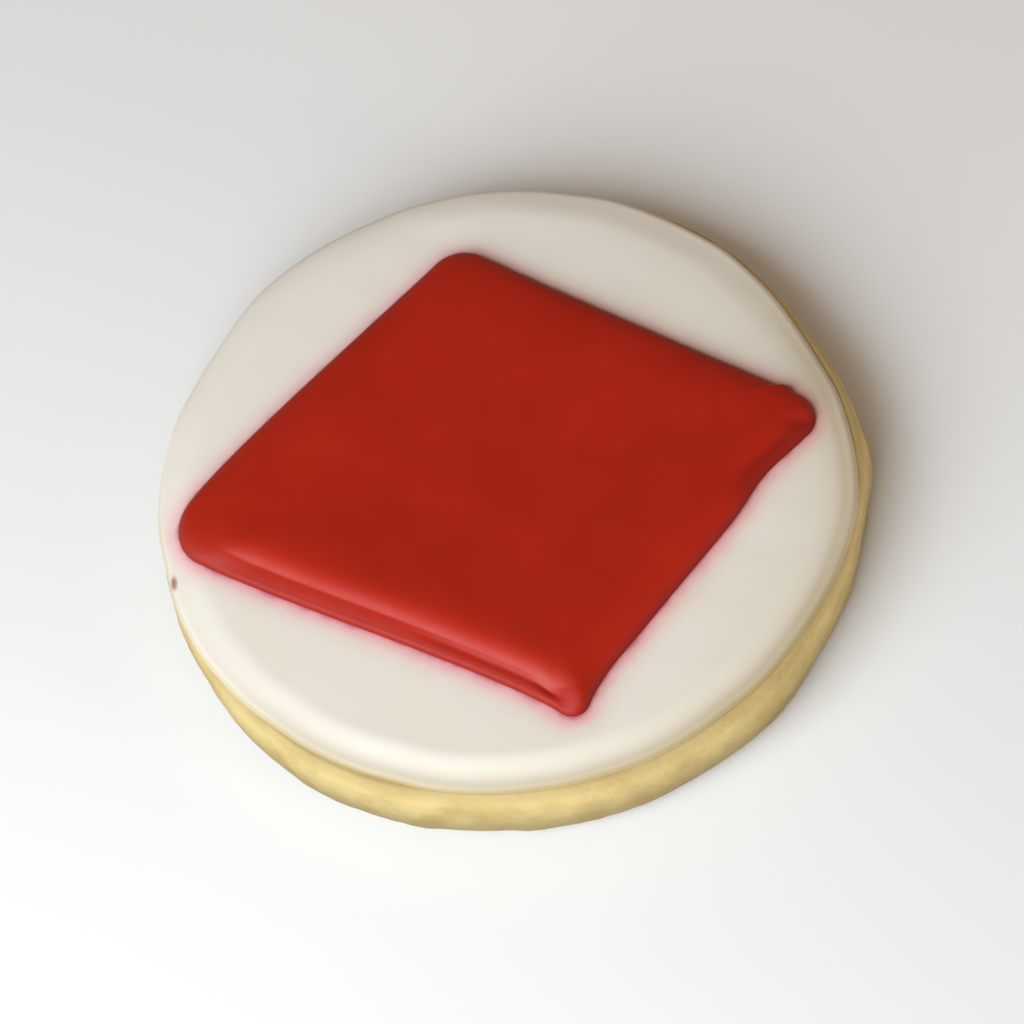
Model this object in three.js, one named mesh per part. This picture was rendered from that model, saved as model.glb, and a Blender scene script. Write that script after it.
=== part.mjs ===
// An iced sugar cookie: a thick round biscuit, a flooded round of white icing on it, and a raised red
// diamond piped and flooded on top of the white. All three are closed solids, stacked face to face.
// Lengths are in millimetres and angles in degrees. +Z is up, and +X points at the diamond's right corner.
import * as THREE from 'three';

// ---- driving dimensions: the biscuit ----
const BISCUIT_RADIUS = 38.2;
const BISCUIT_HEIGHT = 8.7;
const FOOT_ROUNDING = 1.8;      // radius of the baked lower edge
const TOP_ROUNDING = 0.9;       // how far the upper edge rounds inwards, beside the icing
const TOP_DROP = 1.9;           // how far down the side that rounding reaches
const BELLY = 0.15;             // how far the side swells at half height
// Unevenness of a round outline: waves around it, amplitude in mm, and the angle of a crest.
const BISCUIT_WAVES = [
  { around: 2, amplitude: 0.08, crest: -83 },
  { around: 3, amplitude: 0.31, crest: -22 },
  { around: 4, amplitude: 0.14, crest: -11 },
  { around: 5, amplitude: 0.10, crest: 0 },
  { around: 6, amplitude: 0.21, crest: -7 },
];
// Places where the outline runs further out or in: at which angle, how far, over what width.
const BISCUIT_RUNS = [
  { angle: -88, reach: 0.35, width: 12 },
  { angle: -54, reach: 0.3, width: 8 },
  { angle: -19, reach: -0.3, width: 8 },
  { angle: 35, reach: 0.55, width: 11 },
  { angle: 112, reach: -0.25, width: 24 },
  { angle: 170, reach: -0.3, width: 26 },
];

// ---- driving dimensions: the white icing ----
const ICING_RADIUS = 37.5;
const ICING_HEIGHT = 1.5;
const ICING_RIM = 2.8;          // width over which the icing rounds down to the biscuit
const ICING_WAVES = [
  { around: 3, amplitude: 0.25, crest: -28 },
  { around: 4, amplitude: 0.12, crest: -3 },
  { around: 5, amplitude: 0.16, crest: -17 },
  { around: 7, amplitude: 0.08, crest: -15 },
];
// Places where the flood ran further out or stopped short: at which angle, how far, over what width.
const ICING_RUNS = [
  { angle: 167, reach: 0.62, width: 15 },
  { angle: 155, reach: 0.3, width: 10 },
  { angle: 141, reach: -0.22, width: 8 },
  { angle: 126, reach: 0.3, width: 6 },
  { angle: 117, reach: 0.22, width: 16 },
  { angle: 84, reach: 0.15, width: 35 },
  { angle: 12, reach: -0.55, width: 18 },
  { angle: -95, reach: -0.16, width: 45 },
];

// ---- driving dimensions: the red diamond ----
const DIAMOND_HEIGHT = 2.1;     // height of its shoulder above the white icing
const DIAMOND_SINK = 0.6;       // how much lower the middle of the flood dried
const SHOULDER = 2.7;           // width over which it rounds up from its edge
const HALF_WIDTH = 23.2;        // from the middle of the diamond square out to a side
const MIDDLE = { x: -1.2, y: 0 };
// Each corner is an arc. Each side runs counter-clockwise from its corner to the next one as a curve that
// leaves and arrives at these angles, inward where it starts and outward where it ends.
const CORNERS = [
  { name: 'left', x: -30.7, y: 1.1, radius: 5.0, leave: -5, arrive: -10 },
  { name: 'bottom', x: 1.7, y: -28.6, radius: 1.8, leave: 10, arrive: 0 },
  { name: 'right', x: 31.0, y: -0.8, radius: 3.1, leave: 2, arrive: -2 },
  { name: 'top', x: 0.2, y: 25.1, radius: 4.0, leave: 0, arrive: 9 },
];
// Places where the piped line swerves: how deep inward, how far from its corner, over what width.
const SWERVES = [
  { after: 'bottom', depth: 0.28, distance: 4.6, width: 4.0 },
  { before: 'right', depth: 0.72, distance: 7.1, width: 4.5 },
  { after: 'right', depth: -0.5, distance: 1.2, width: 0.7 },
];
const HANDLE = 0.2;             // a side curve's handles, as a part of the side's length
const JOIN = 0.8;               // length over which a swerve fades out where side and corner meet

// ---- how finely the curves are divided ----
const ROUND_STEPS = 120;
const SIDE_STEPS = 24;
const CORNER_STEPS = 8;
const EDGE_STEPS = 6;

const toRadians = THREE.MathUtils.degToRad;

// Radius of an uneven round outline at an angle in radians: its waves, and a bell for each run.
function unevenRadius(radius, waves, runs, angle) {
  let sum = radius;
  for (const wave of waves) {
    sum += wave.amplitude * Math.cos(wave.around * (angle - toRadians(wave.crest)));
  }
  for (const run of runs) {
    const degrees = THREE.MathUtils.radToDeg(angle);
    const turn = THREE.MathUtils.euclideanModulo(degrees - run.angle + 180, 360) - 180;
    sum += run.reach * Math.exp(-((turn / run.width) ** 2));
  }
  return sum;
}

// A closed ring of points at one height; each radius is the uneven outline moved out by `outward`.
function roundRing(radius, waves, runs, outward, z) {
  const ring = [];
  for (let i = 0; i < ROUND_STEPS; i += 1) {
    const angle = (i / ROUND_STEPS) * Math.PI * 2;
    const r = unevenRadius(radius, waves, runs, angle) + outward;
    ring.push(new THREE.Vector3(r * Math.cos(angle), r * Math.sin(angle), z));
  }
  return ring;
}

// A closed solid from rings of equal length, listed from the bottom up, with a fan at each end.
function solidFromRings(rings, bottomMiddle, topMiddle) {
  const count = rings[0].length;
  const points = [...rings.flat(), bottomMiddle, topMiddle];
  const bottom = points.length - 2;
  const top = points.length - 1;
  const lastRing = (rings.length - 1) * count;
  const index = [];
  for (let i = 0; i < count; i += 1) {
    const next = (i + 1) % count;
    index.push(bottom, next, i);
    index.push(top, lastRing + i, lastRing + next);
    for (let k = 0; k < rings.length - 1; k += 1) {
      const low = k * count;
      const high = low + count;
      index.push(low + i, low + next, high + next);
      index.push(low + i, high + next, high + i);
    }
  }
  const geometry = new THREE.BufferGeometry().setFromPoints(points);
  geometry.setIndex(index);
  geometry.computeVertexNormals();
  return geometry;
}

// The biscuit: a flat base, a rounded foot, a slightly swollen side and a flat top.
function biscuitGeometry() {
  const rings = [];
  const ring = (outward, z) => {
    const swell = BELLY * Math.sin((Math.PI * z) / BISCUIT_HEIGHT);
    return roundRing(BISCUIT_RADIUS, BISCUIT_WAVES, BISCUIT_RUNS, outward + swell, z);
  };
  for (let k = 0; k <= EDGE_STEPS; k += 1) {
    const turn = (k / EDGE_STEPS) * (Math.PI / 2);
    rings.push(ring(FOOT_ROUNDING * (Math.sin(turn) - 1), FOOT_ROUNDING * (1 - Math.cos(turn))));
  }
  rings.push(ring(0, BISCUIT_HEIGHT / 2));
  const topSteps = EDGE_STEPS / 2;
  for (let k = 0; k <= topSteps; k += 1) {
    const turn = (k / topSteps) * (Math.PI / 2);
    const z = BISCUIT_HEIGHT - TOP_DROP * (1 - Math.sin(turn));
    rings.push(ring(TOP_ROUNDING * (Math.cos(turn) - 1), z));
  }
  return solidFromRings(rings, new THREE.Vector3(0, 0, 0), new THREE.Vector3(0, 0, BISCUIT_HEIGHT));
}

// The white icing: flat below, flat on top, and rounded down to the biscuit at its rim.
function whiteIcingGeometry() {
  const rings = [];
  for (let k = 0; k <= EDGE_STEPS; k += 1) {
    const turn = (k / EDGE_STEPS) * (Math.PI / 2);
    const inward = ICING_RIM * (Math.cos(turn) - 1);
    const z = BISCUIT_HEIGHT + ICING_HEIGHT * Math.sin(turn);
    rings.push(roundRing(ICING_RADIUS, ICING_WAVES, ICING_RUNS, inward, z));
  }
  const bottomMiddle = new THREE.Vector3(0, 0, BISCUIT_HEIGHT);
  const topMiddle = new THREE.Vector3(0, 0, BISCUIT_HEIGHT + ICING_HEIGHT);
  return solidFromRings(rings, bottomMiddle, topMiddle);
}

// Where one side of the diamond starts and ends, and the curve between: it leaves `from` and reaches `to`
// along the line that touches both arcs from outside, turned by the corner's two angles.
function diamondSide(from, to) {
  const run = new THREE.Vector2(to.x - from.x, to.y - from.y);
  const heading = run.angle() - Math.asin((to.radius - from.radius) / run.length());
  const startHeading = heading + toRadians(from.leave);
  const endHeading = heading + toRadians(from.arrive);
  const onArc = (corner, direction) => new THREE.Vector2(
    corner.x + corner.radius * Math.sin(direction),
    corner.y - corner.radius * Math.cos(direction),
  );
  const start = onArc(from, startHeading);
  const end = onArc(to, endHeading);
  const length = start.distanceTo(end);
  const step = (point, direction, distance) => new THREE.Vector2(
    point.x + distance * Math.cos(direction),
    point.y + distance * Math.sin(direction),
  );
  const curve = new THREE.CubicBezierCurve(
    start,
    step(start, startHeading, HANDLE * length),
    step(end, endHeading, -HANDLE * length),
    end,
  );
  return { curve, heading, startHeading, endHeading, length };
}

// How far inward the piped line swerves at a distance `along` a side of this length.
function swerve(from, to, along, length) {
  let inward = 0;
  for (const bend of SWERVES) {
    if (bend.after !== from.name && bend.before !== to.name) continue;
    const distance = bend.after ? along : length - along;
    const fade = 1 - Math.exp(-((distance / JOIN) ** 2));
    inward += bend.depth * fade * Math.exp(-(((distance - bend.distance) / bend.width) ** 2));
  }
  return inward;
}

// The closed outline of the diamond, counter-clockwise.
function diamondOutline() {
  const sides = CORNERS.map((from, k) => diamondSide(from, CORNERS[(k + 1) % CORNERS.length]));
  const outline = [];
  sides.forEach((side, k) => {
    const from = CORNERS[k];
    const to = CORNERS[(k + 1) % CORNERS.length];
    const forward = new THREE.Vector2(Math.cos(side.heading), Math.sin(side.heading));
    const inward = new THREE.Vector2(-forward.y, forward.x);
    const start = side.curve.getPoint(0);
    for (let i = 0; i <= SIDE_STEPS; i += 1) {
      const point = side.curve.getPoint(i / SIDE_STEPS);
      const along = point.clone().sub(start).dot(forward);
      outline.push(point.addScaledVector(inward, swerve(from, to, along, side.length)));
    }
    const nextHeading = sides[(k + 1) % sides.length].startHeading;
    const fullTurn = Math.PI * 2;
    const sweep = (((nextHeading - side.endHeading) % fullTurn) + fullTurn) % fullTurn;
    for (let i = 1; i < CORNER_STEPS; i += 1) {
      const direction = side.endHeading + (i / CORNER_STEPS) * sweep;
      outline.push(new THREE.Vector2(
        to.x + to.radius * Math.sin(direction),
        to.y - to.radius * Math.cos(direction),
      ));
    }
  });
  return outline;
}

// The red diamond: its outline drawn in towards its middle while it rounds up over the shoulder, then a
// shallow dish. Drawing in by scale keeps every side the same distance from the edge.
function redDiamondGeometry() {
  const outline = diamondOutline();
  const base = BISCUIT_HEIGHT + ICING_HEIGHT;
  const ring = (inset, z) => {
    const scale = 1 - inset / HALF_WIDTH;
    return outline.map((point) => new THREE.Vector3(
      MIDDLE.x + scale * (point.x - MIDDLE.x),
      MIDDLE.y + scale * (point.y - MIDDLE.y),
      z,
    ));
  };
  const rings = [];
  for (let k = 0; k <= EDGE_STEPS; k += 1) {
    const turn = (k / EDGE_STEPS) * (Math.PI / 2);
    rings.push(ring(SHOULDER * (1 - Math.cos(turn)), base + DIAMOND_HEIGHT * Math.sin(turn)));
  }
  const dishWidth = HALF_WIDTH - SHOULDER;
  const dishSteps = EDGE_STEPS / 2;
  for (let k = 1; k < dishSteps; k += 1) {
    const part = k / dishSteps;
    const drop = DIAMOND_SINK * (1 - (1 - part) ** 2);
    rings.push(ring(SHOULDER + part * dishWidth, base + DIAMOND_HEIGHT - drop));
  }
  const bottomMiddle = new THREE.Vector3(MIDDLE.x, MIDDLE.y, base);
  const topMiddle = new THREE.Vector3(MIDDLE.x, MIDDLE.y, base + DIAMOND_HEIGHT - DIAMOND_SINK);
  return solidFromRings(rings, bottomMiddle, topMiddle);
}

function piece(name, geometry, color, roughness) {
  const material = new THREE.MeshStandardMaterial({ color, roughness, metalness: 0 });
  const mesh = new THREE.Mesh(geometry, material);
  mesh.name = name;
  return mesh;
}

const cookie = new THREE.Group();
cookie.add(piece('biscuit', biscuitGeometry(), 0xdcc98a, 0.85));
cookie.add(piece('white_icing', whiteIcingGeometry(), 0xf1ece2, 0.45));
cookie.add(piece('red_icing', redDiamondGeometry(), 0xb02a1c, 0.4));

// The origin is under the middle of the cookie's bounding box, on the surface it lies on.
const middle = new THREE.Box3().setFromObject(cookie).getCenter(new THREE.Vector3());
cookie.position.set(-middle.x, -middle.y, 0);

export default cookie;
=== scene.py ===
# %% [markdown]
# # An iced sugar cookie
#
# The cookie is three things that a baker makes one after another: a thick round biscuit cut from rolled
# dough, a layer of white icing that is flooded over it and dries with a soft rounded rim, and a red diamond
# that is piped as an outline and then flooded on top of the white. This script makes each of them as one
# closed surface, worked out with numpy from a few named sizes, and gives each a material made of nodes.
#
# The imported model is the frame. It says how big the three pieces are and where they lie, so it is loaded
# first.

# %% Load the frame
import bpy
import numpy as np
from mathutils import Matrix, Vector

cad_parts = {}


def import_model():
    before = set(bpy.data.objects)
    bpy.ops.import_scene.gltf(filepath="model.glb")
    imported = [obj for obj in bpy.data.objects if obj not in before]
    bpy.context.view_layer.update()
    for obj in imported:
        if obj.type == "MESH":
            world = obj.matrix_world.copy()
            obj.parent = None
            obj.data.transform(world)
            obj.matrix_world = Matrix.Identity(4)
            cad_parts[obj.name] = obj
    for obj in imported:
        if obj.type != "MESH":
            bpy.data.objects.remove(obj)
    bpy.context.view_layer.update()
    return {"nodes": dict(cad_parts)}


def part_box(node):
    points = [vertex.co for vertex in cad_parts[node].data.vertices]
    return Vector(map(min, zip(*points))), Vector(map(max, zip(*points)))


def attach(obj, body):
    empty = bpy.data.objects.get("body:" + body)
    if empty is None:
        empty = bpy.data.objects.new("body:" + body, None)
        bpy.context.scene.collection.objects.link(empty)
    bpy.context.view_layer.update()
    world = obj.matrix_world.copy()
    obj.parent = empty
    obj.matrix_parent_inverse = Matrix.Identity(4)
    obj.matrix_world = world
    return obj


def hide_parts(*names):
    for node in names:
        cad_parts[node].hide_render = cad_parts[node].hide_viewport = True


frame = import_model()
print("frame nodes:", sorted(frame["nodes"]))

# %% [markdown]
# ## Sizes from the frame
#
# Lengths in this script are in millimetres, because that is how a baker would measure a cookie, and they are
# turned into Blender's metres only when a mesh is made. The heights of the layers are read from the boxes of
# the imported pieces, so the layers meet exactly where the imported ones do.

# %% Heights of the layers
MM = 0.001


def box_mm(node):
    """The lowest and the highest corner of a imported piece, in millimetres."""
    low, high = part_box(node)
    return np.array(low) / MM, np.array(high) / MM


biscuit_low, biscuit_high = box_mm("biscuit")
white_low, white_high = box_mm("white_icing")
red_low, red_high = box_mm("red_icing")
BISCUIT_TOP = biscuit_high[2]
WHITE_TOP = white_high[2]
RED_TOP = red_high[2]
print(f"biscuit top {BISCUIT_TOP:.2f}, white icing top {WHITE_TOP:.2f}, red icing top {RED_TOP:.2f} mm")

# %% [markdown]
# ## Helpers for smooth unevenness
#
# Nothing handmade is quite regular. A good unevenness is smooth, has a known wavelength, and doesn't repeat
# or show a seam. Blender has noise textures for this, but a mesh needs numbers. Adding up waves that run in
# random directions gives them: every wave has the same length but its own direction and phase, so the sum
# looks like a natural, cloudy field. It is a function of a place in space, so a surface that closes on itself
# gets no seam.

# %% Random fields and soft steps
def cloud(points, wavelength, seed, waves=36):
    """Sum of cosine waves of one wavelength in random directions, scaled so that its spread is about 1."""
    dice = np.random.default_rng(seed)
    directions = dice.normal(size=(waves, 3))
    directions /= np.linalg.norm(directions, axis=1, keepdims=True)
    phases = dice.uniform(0, 2 * np.pi, waves)
    angles = points @ directions.T * (2 * np.pi / wavelength) + phases
    return np.cos(angles).sum(axis=-1) * np.sqrt(2 / waves)


def cloudy_relief(points, layers, first_seed):
    """Cloudy fields added up: each layer is a height and a wavelength, and has a seed of its own."""
    seeds = range(first_seed, first_seed + len(layers))
    return sum(height * cloud(points, wavelength, seed) for (height, wavelength), seed in zip(layers, seeds))


def soft_step(value, start, end):
    """0 before start, 1 after end, and an S-curve between: 3 t squared minus 2 t cubed."""
    t = np.clip((value - start) / (end - start), 0, 1)
    return t * t * (3 - 2 * t)


def hump(value, middle, width):
    """A bell: e to the power of minus the squared distance from the middle, in widths."""
    return np.exp(-(((value - middle) / width) ** 2))


# %% [markdown]
# ## Turning rings into a mesh
#
# All three pieces are stacks of closed rings, like the layers of an onion cut flat: each starts at a point in
# the middle of its underside, opens out ring by ring to the rim, and closes again at a point in the middle of
# its top. One helper can skin them all. It joins neighbouring rings with four-sided faces and closes each end
# with a fan of triangles, so no seam or hole is left, and every face points outwards.

# %% The ring skinner
def ring_piece(name, rings, first_middle, last_middle):
    """Joins rings[k, i] to its neighbours i + 1 and k + 1, and each end ring to its middle point."""
    count, around, _ = rings.shape
    points = np.concatenate([rings.reshape(-1, 3), [first_middle, last_middle]]) * MM
    ring, step = np.meshgrid(np.arange(count - 1), np.arange(around), indexing="ij")
    here = ring * around + step
    beside = ring * around + (step + 1) % around
    quads = np.stack([here, beside, beside + around, here + around], axis=-1).reshape(-1, 4)
    start = np.arange(around)
    after = (start + 1) % around
    last = (count - 1) * around
    first_fan = np.stack([np.full(around, count * around), after, start], axis=-1)
    last_fan = np.stack([np.full(around, count * around + 1), last + start, last + after], axis=-1)
    faces = quads.tolist() + first_fan.tolist() + last_fan.tolist()
    mesh = bpy.data.meshes.new(name)
    mesh.from_pydata(points.tolist(), [], faces)
    mesh.shade_smooth()
    mesh.update()
    piece = bpy.data.objects.new(name, mesh)
    bpy.context.scene.collection.objects.link(piece)
    print(f"{name}: {len(mesh.vertices)} vertices, {len(mesh.polygons)} faces")
    return piece


def stack(radii, heights, angles, middle):
    """Rings of points at radius and height r[k, i] and z[k, i] and angle a[i] round a middle."""
    x = middle[0] + radii * np.cos(angles)
    y = middle[1] + radii * np.sin(angles)
    return np.stack(np.broadcast_arrays(x, y, heights), axis=-1)


# %% [markdown]
# ## Round outlines that aren't quite round
#
# A cutter is a true circle, but soft dough and runny icing aren't so obedient. A few slow waves round the
# outline, each with its own height and the angle of one crest, pull the circle slightly out of true. A few
# bells push it out or in at one place, where the dough or the icing ran further or stopped short. The packed
# pieces use the same waves and bells. Their boxes then say where the middle of each outline lies.

# %% The two round outlines
BISCUIT_RADIUS = 38.2
ICING_RADIUS = 37.5
# waves round the outline: how many, how high in mm, and the angle of one crest in degrees
BISCUIT_WAVES = [(2, 0.08, -83), (3, 0.31, -22), (4, 0.14, -11), (5, 0.10, 0), (6, 0.21, -7)]
ICING_WAVES = [(3, 0.25, -28), (4, 0.12, -3), (5, 0.16, -17), (7, 0.08, -15)]
# places where an outline runs further out or in: angle in degrees, reach and width
BISCUIT_RUNS = [
    (-88, 0.35, 12), (-54, 0.3, 8), (-19, -0.3, 8), (35, 0.55, 11), (112, -0.25, 24), (170, -0.3, 26),
]
ICING_RUNS = [
    (167, 0.62, 15), (155, 0.3, 10), (141, -0.22, 8), (126, 0.3, 6), (117, 0.22, 16), (84, 0.15, 35),
    (12, -0.55, 18), (-95, -0.16, 45),
]


def outline_radius(radius, waves, runs, angles):
    """Mean radius, plus amplitude times cos(number times (angle minus crest)), plus a bell for each run."""
    total = np.full_like(angles, radius)
    for number, amplitude, crest in waves:
        total += amplitude * np.cos(number * (angles - np.radians(crest)))
    for angle, reach, width in runs:
        turn = (np.degrees(angles) - angle + 180) % 360 - 180
        total += reach * hump(turn, 0, width)
    return total


def outline_middle(radius, waves, runs, low, high):
    """Where the middle of a wavy outline lies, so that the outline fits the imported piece's box."""
    angles = np.linspace(0, 2 * np.pi, 3600, endpoint=False)
    r = outline_radius(radius, waves, runs, angles)
    outline = np.stack([r * np.cos(angles), r * np.sin(angles)], axis=-1)
    return (low + high)[:2] / 2 - (outline.min(axis=0) + outline.max(axis=0)) / 2


biscuit_middle = outline_middle(BISCUIT_RADIUS, BISCUIT_WAVES, BISCUIT_RUNS, biscuit_low, biscuit_high)
white_middle = outline_middle(ICING_RADIUS, ICING_WAVES, ICING_RUNS, white_low, white_high)
print("middle of the biscuit:", biscuit_middle.round(2), "of the icing:", white_middle.round(2))

# %% [markdown]
# ## The biscuit
#
# A rolled and cut biscuit has a flat base that took the heat of the tray, a rounded foot where the dough
# settled, a side that swells most at half its height, and a soft upper edge. The side could be a lathe
# profile, but real dough also has shallow lumps, a fine grain, and a place or two where it pushed outwards.
# So the profile is carried round the outline as a grid, and every point is then moved out or in by cloudy
# fields of three wavelengths and by bell-shaped bulges. The relief is real geometry, because it shows at the
# silhouette.

# %% Biscuit shape
# how finely the piece is divided: points in a ring, rings of the underside, of a rounding, of the side, of
# the flat top under the icing
AROUND = 720
BASE_RINGS, ROUNDING_STEPS, SIDE_RINGS, LID_RINGS = 70, 12, 20, 6
FOOT_ROUNDING = 1.8
TOP_ROUNDING = 0.9
TOP_DROP = 1.9
BELLY = 0.15
# the swelling: how far it reaches, the height of its middle and how tall it is
SWELL, SWELL_LEVEL, SWELL_TALL = 0.3, 4.2, 2.4
# lumps, knobs and grain of the dough: height and wavelength
DOUGH_RELIEF = [(0.035, 11.0), (0.026, 4.2), (0.014, 1.5)]
# the relief fades out over the lowest and the highest part of the side
FADE_LOW, FADE_HIGH = 1.2, 0.5
# shallow pits in the underside: wavelength, how high the cloudy field must be to make one, and depth
PIT_SIZE, PIT_RARITY, PIT_DEPTH = 3.0, 1.0, 0.12
# places where the dough bulged: angle in degrees, height above the tray, reach out, width round and width up
BULGES = [(-8.0, 3.0, 0.55, 5.0, 3.5), (-17.2, 1.6, 0.4, 1.0, 1.0)]


def biscuit_profile():
    """Outward shift and height along the profile: base, quarter-round foot, side, quarter-round top edge."""
    base = np.linspace(0.02, 1, BASE_RINGS)[:-1]
    turn = np.linspace(0, np.pi / 2, ROUNDING_STEPS)
    foot = np.stack([FOOT_ROUNDING * (np.sin(turn) - 1), FOOT_ROUNDING * (1 - np.cos(turn))], axis=-1)
    rise = np.linspace(FOOT_ROUNDING, BISCUIT_TOP - TOP_DROP, SIDE_RINGS)[1:-1]
    side = np.stack([np.zeros_like(rise), rise], axis=-1)
    edge = np.stack([
        TOP_ROUNDING * (np.cos(turn) - 1), BISCUIT_TOP - TOP_DROP * (1 - np.sin(turn)),
    ], axis=-1)
    return base, np.concatenate([foot, side, edge])


def make_biscuit():
    """The profile carried round the outline, then moved along the outward direction by cloudy fields."""
    angles = np.linspace(0, 2 * np.pi, AROUND, endpoint=False)
    outline = outline_radius(BISCUIT_RADIUS, BISCUIT_WAVES, BISCUIT_RUNS, angles)
    base, wall = biscuit_profile()
    shift, height = wall[:, :1], wall[:, 1:]
    swell = BELLY * np.sin(np.pi * height / BISCUIT_TOP)
    swell += SWELL * (hump(height, SWELL_LEVEL, SWELL_TALL) - 0.5)
    radii = outline + shift + swell
    heights = np.broadcast_to(height, radii.shape)
    places = stack(radii, heights, angles, biscuit_middle)
    lumps = cloudy_relief(places, DOUGH_RELIEF, 3)
    degrees = np.degrees(angles)
    for angle, level, reach, wide, tall in BULGES:
        away = (degrees - angle + 180) % 360 - 180
        lumps += reach * hump(away, 0, wide) * hump(heights, level, tall)
    on_wall = soft_step(heights, 0, FADE_LOW)
    on_wall *= 1 - soft_step(heights, BISCUIT_TOP - FADE_HIGH, BISCUIT_TOP)
    radii = radii + lumps * on_wall
    foot_ring = radii[0]
    base_radii = base[:, None] * foot_ring
    base_places = stack(base_radii, np.zeros_like(base_radii), angles, biscuit_middle)
    pits = np.maximum(cloud(base_places, PIT_SIZE, 6) - PIT_RARITY, 0) * PIT_DEPTH
    pits = pits * (1 - soft_step(base[:, None], 0.9, 1))
    lid = np.linspace(1, 0.04, LID_RINGS)[1:, None] * radii[-1]
    rings = np.concatenate([
        stack(base_radii, pits, angles, biscuit_middle),
        stack(radii, heights, angles, biscuit_middle),
        stack(lid, np.full_like(lid, BISCUIT_TOP), angles, biscuit_middle),
    ])
    middle_low = [*biscuit_middle, 0]
    middle_high = [*biscuit_middle, BISCUIT_TOP]
    return ring_piece("biscuit_crumb", rings, middle_low, middle_high)


biscuit = make_biscuit()

# %% [markdown]
# ## The diamond's outline
#
# The outline is needed twice: for the red icing itself, and for the white icing, which is stained pink where
# the red lies against it. Each corner of the diamond is an arc, because the piped line turns there. Each side
# is a cubic curve from arc to arc, nearly straight, and the hand that piped it swerved in three places. The
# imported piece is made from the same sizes.

# %% Diamond outline
MIDDLE = np.array([-1.2, 0.0])
HALF_WIDTH = 23.2
HANDLE = 0.2
JOIN = 0.8
# corners counter-clockwise: middle of the arc, its radius, and the angles at which sides leave and arrive
CORNERS = [
    dict(name="left", x=-30.7, y=1.1, radius=5.0, leave=-5, arrive=-10),
    dict(name="bottom", x=1.7, y=-28.6, radius=1.8, leave=10, arrive=0),
    dict(name="right", x=31.0, y=-0.8, radius=3.1, leave=2, arrive=-2),
    dict(name="top", x=0.2, y=25.1, radius=4.0, leave=0, arrive=9),
]
# swerves: which end of which side, how deep inwards, how far from the corner, over what width
SWERVES = [
    dict(after="bottom", depth=0.28, distance=4.6, width=4.0),
    dict(before="right", depth=0.72, distance=7.1, width=4.5),
    dict(after="right", depth=-0.5, distance=1.2, width=0.7),
]


def direction(angle):
    """The unit vector at an angle."""
    return np.array([np.cos(angle), np.sin(angle)])


def arc_point(corner, heading):
    """The point of a corner's arc where a line with this heading touches it from outside."""
    return np.array([corner["x"], corner["y"]]) + corner["radius"] * direction(heading - np.pi / 2)


def side_curve(start, end, steps):
    """One side: a cubic curve between two arcs, moved inwards at its swerves. Returns it and its headings."""
    run = np.array([end["x"] - start["x"], end["y"] - start["y"]])
    lean = np.arcsin((end["radius"] - start["radius"]) / np.linalg.norm(run))
    heading = np.arctan2(run[1], run[0]) - lean
    leaving = heading + np.radians(start["leave"])
    arriving = heading + np.radians(start["arrive"])
    a, d = arc_point(start, leaving), arc_point(end, arriving)
    length = np.linalg.norm(d - a)
    b = a + HANDLE * length * direction(leaving)
    c = d - HANDLE * length * direction(arriving)
    t = np.linspace(0, 1, steps)[:, None]
    curve = (1 - t) ** 3 * a + 3 * (1 - t) ** 2 * t * b + 3 * (1 - t) * t**2 * c + t**3 * d
    along = (curve - a) @ direction(heading)
    inward = np.zeros(steps)
    for swerve in SWERVES:
        if swerve.get("after") == start["name"]:
            distance = along
        elif swerve.get("before") == end["name"]:
            distance = length - along
        else:
            continue
        fade = 1 - np.exp(-((distance / JOIN) ** 2))
        inward += swerve["depth"] * fade * hump(distance, swerve["distance"], swerve["width"])
    return curve + inward[:, None] * direction(heading + np.pi / 2), leaving, arriving


def diamond_outline(count):
    """Sides and arcs in turn, then spaced evenly along the whole length, as count points."""
    sides = [side_curve(corner, CORNERS[(k + 1) % 4], 200) for k, corner in enumerate(CORNERS)]
    parts = []
    for k, (curve, _, arriving) in enumerate(sides):
        corner = CORNERS[(k + 1) % 4]
        sweep = (sides[(k + 1) % 4][1] - arriving) % (2 * np.pi)
        headings = arriving + np.linspace(0, 1, 60)[1:-1] * sweep
        middle = np.array([corner["x"], corner["y"]])
        turn = np.stack([np.sin(headings), -np.cos(headings)], axis=-1)
        parts += [curve, middle + corner["radius"] * turn]
    points = np.concatenate(parts)
    closed = np.concatenate([points, points[:1]])
    length = np.concatenate([[0], np.cumsum(np.linalg.norm(np.diff(closed, axis=0), axis=1))])
    even = np.linspace(0, length[-1], count, endpoint=False)
    return np.stack([np.interp(even, length, closed[:, k]) for k in range(2)], axis=-1), length[-1]


diamond, diamond_length = diamond_outline(AROUND)
diamond_shift = (red_low + red_high)[:2] / 2 - (diamond.min(axis=0) + diamond.max(axis=0)) / 2
diamond += diamond_shift
diamond_middle = MIDDLE + diamond_shift
print(f"the diamond's outline is {diamond_length:.1f} mm long")

# %% [markdown]
# ## The white icing
#
# Flooded icing finds its own level and stops at the edge of the biscuit, held by surface tension, so it is
# flat in the middle and rounds down at the rim. Its height is a function of how far a point is from the rim:
# a small round edge, and then a slope that is long where the flood ran thin and short where it ran thick.
# Along the front the icing rolls down in one broad curve, and on the right a shallow crease follows the rim.
# The rings are close together at the edge, where the surface bends most. Very low swells, less than a tenth
# of a millimetre high, let the soft light play on the surface.
#
# Two numbers are stored with every point, for the material: how far it is from the red diamond, and how much
# of the full thickness the slope has reached. Both change evenly over a face, so the material can draw an
# exact, soft edge from them.

# %% White icing surface
WHITE_HEIGHT = WHITE_TOP - BISCUIT_TOP
EDGE_SHARE = 0.42
EDGE_WIDTH = 0.8
LIP_SHARE = 0.10
LIP_START = 1.2
LIP_END = 4.4
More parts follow.
